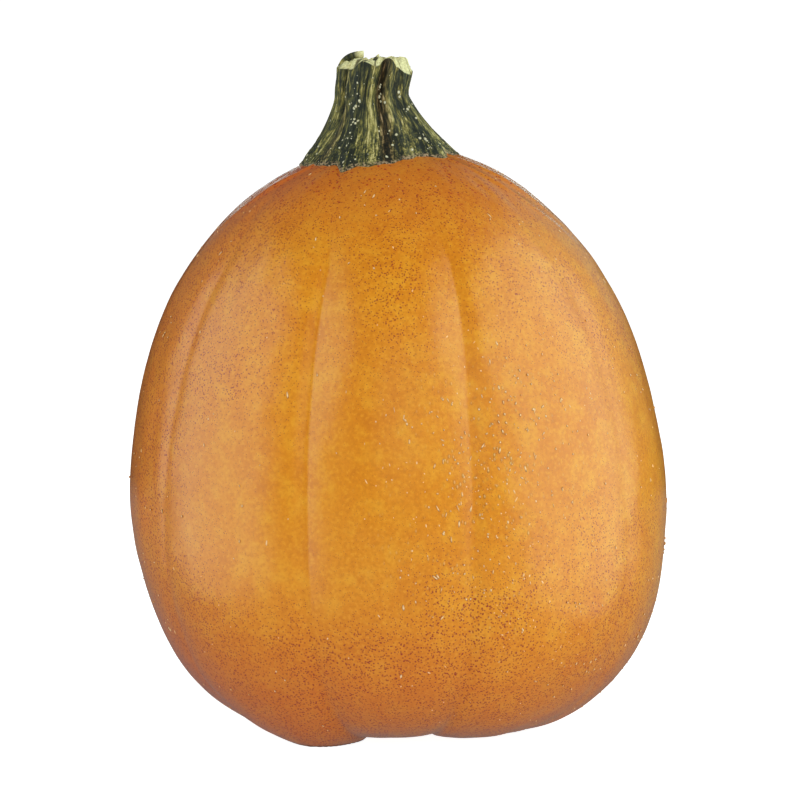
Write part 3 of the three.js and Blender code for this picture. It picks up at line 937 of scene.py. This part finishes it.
stem_points, stem_values = stem_surface()
stem_mesh = closed_mesh(
    "pumpkin_stem",
    set_in_place(stem_points[0].mean(0)),
    set_in_place(stem_points),
    set_in_place(stem_points[-1].mean(0)),
    stem_values,
)
stem_look = stem_material()
stem = add_piece("pumpkin_stem", stem_mesh, stem_look)
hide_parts("stem")
add_piece("stem_dots", stem_dots(), cork_material("stem_cork", *STEM_CORK))
for name, route, wide_way, width, thickness in TORN_STRIPS:
    add_piece(name, strip_mesh(name, route, wide_way, width, thickness), stem_look)

# Camera
AIM = Vector((0.83, 0, 144.6)) * MM
CAMERA_DISTANCE = 1.6
CAMERA_ELEVATION = math.radians(7)
PHOTO_SIDE = 800
FOCAL_PIXELS = 3593
SENSOR = 36
camera_data = bpy.data.cameras.new("camera")
camera_data.sensor_width = SENSOR
camera_data.lens = FOCAL_PIXELS / PHOTO_SIDE * SENSOR
camera = add_object("camera", camera_data)
back = Vector((0, -math.cos(CAMERA_ELEVATION), math.sin(CAMERA_ELEVATION)))
camera.location = AIM + CAMERA_DISTANCE * back
camera.rotation_euler = back.to_track_quat("Z", "Y").to_euler()
bpy.context.scene.camera = camera
bpy.context.scene.view_settings.view_transform = "Standard"


# Light: a tall softbox on each side, weak ones behind, a warm fill in front, and the pale floor and surround
COOL = (0.82, 1.0, 0.97)
WARM = (1.0, 0.97, 0.92)
LIGHTS_AIM = Vector((0, 0, 0.13))

# How much of a softbox's width and height each of its fading edges takes up
SOFT_EDGE = 0.3

# How bright the surround is, and how bright the fruit's gloss sees it
SURROUND = 0.20
SURROUND_IN_GLOSS = 0.03

# How much light the floor adds of its own, where the camera sees it
FLOOR_OWN_LIGHT = 0.95


def fade_edges(data):
    """Dims a light towards its edges, as the cloth of a softbox does."""
    data.use_nodes = True
    nodes = Nodes(data.node_tree)
    place = nodes.node("ShaderNodeNewGeometry").outputs["Parametric"]
    sides = nodes.node("ShaderNodeSeparateXYZ", {0: place}).outputs
    from_middle = [nodes.math("ABSOLUTE", nodes.math("SUBTRACT", sides[axis], 0.5)) for axis in "XY"]
    across, upright = [nodes.map(distance, 0.5, 0.5 - SOFT_EDGE) for distance in from_middle]
    nodes.put(data.node_tree.nodes["Emission"].inputs["Strength"], nodes.math("MULTIPLY", across, upright))


def softbox(name, azimuth, distance, level, width, tall, power, colour):
    data = bpy.data.lights.new(name, "AREA")
    data.color = colour
    data.shape = "RECTANGLE"
    data.size, data.size_y = width / (1 - SOFT_EDGE), tall / (1 - SOFT_EDGE)
    data.energy = power / (1 - SOFT_EDGE) ** 2
    fade_edges(data)
    light = add_object(name, data)
    angle = math.radians(azimuth)
    light.location = (distance * math.sin(angle), -distance * math.cos(angle), level)
    light.rotation_euler = (light.location - LIGHTS_AIM).to_track_quat("Z", "Y").to_euler()
    light.visible_camera = False
    return light


# The two tall softboxes reach below the floor: the fruit's gloss doesn't see the floor, and shows them down
# to its foot. Of each light: name, azimuth, distance, height, width, how tall, power, colour
softbox("left_softbox", -80, 1.2, 0.40, 1.5, 1.7, 12, COOL)
softbox("right_softbox", 76, 1.2, 0.52, 2.0, 2.1, 22.5, COOL)
softbox("back_right_softbox", 138, 1.2, 0.72, 1.0, 1.0, 1.1, COOL)
softbox("back_left_softbox", -140, 1.2, 0.80, 0.9, 0.9, 0.25, WARM)
softbox("front_fill", 4, 2.2, 1.1, 1.6, 1.6, 21.0, WARM).visible_glossy = False
softbox("back_strip", 180, 2.0, 0.5, 1.2, 0.07, 0.9, COOL).visible_diffuse = False


def floor_glow(width, power):
    """The pale floor round the foot, as the fruit's gloss sees it."""
    data = bpy.data.lights.new("floor_glow", "AREA")
    data.size = width
    data.energy = power
    light = add_object("floor_glow", data)
    light.location = (0, 0, 0.001)
    light.rotation_euler = (math.pi, 0, 0)
    light.visible_camera = False


floor_glow(width=1.4, power=1.0)


def studio_world():
    world = bpy.data.worlds.new("studio")
    world.use_nodes = True
    nodes = Nodes(world.node_tree)
    rays = nodes.node("ShaderNodeLightPath").outputs
    level = nodes.map(rays["Is Glossy Ray"], 0, 1, SURROUND, SURROUND_IN_GLOSS)
    background = world.node_tree.nodes["Background"]
    nodes.put(background.inputs["Color"], (1, 1, 1))
    nodes.put(background.inputs["Strength"], level)
    white = nodes.node("ShaderNodeBackground", {"Color": (1, 1, 1)}).outputs[0]
    shares = {0: rays["Is Camera Ray"], 1: background.outputs[0], 2: white}
    seen = nodes.node("ShaderNodeMixShader", shares).outputs[0]
    nodes.put(world.node_tree.nodes["World Output"].inputs["Surface"], seen)
    bpy.context.scene.world = world


def studio_floor():
    bpy.ops.mesh.primitive_circle_add(vertices=96, radius=30, fill_type="NGON")
    floor = bpy.context.object
    floor.name = "studio_floor"
    shade = Shading("studio_floor")
    camera_ray = shade.node("ShaderNodeLightPath").outputs["Is Camera Ray"]
    glow = shade.math("MULTIPLY", camera_ray, FLOOR_OWN_LIGHT)
    shade.set(base_color=(0.8, 0.8, 0.8), roughness=0.9, emission_color=(1, 1, 1), emission_strength=glow)
    floor.data.materials.append(shade.material)
    floor.visible_glossy = False


studio_world()
studio_floor()
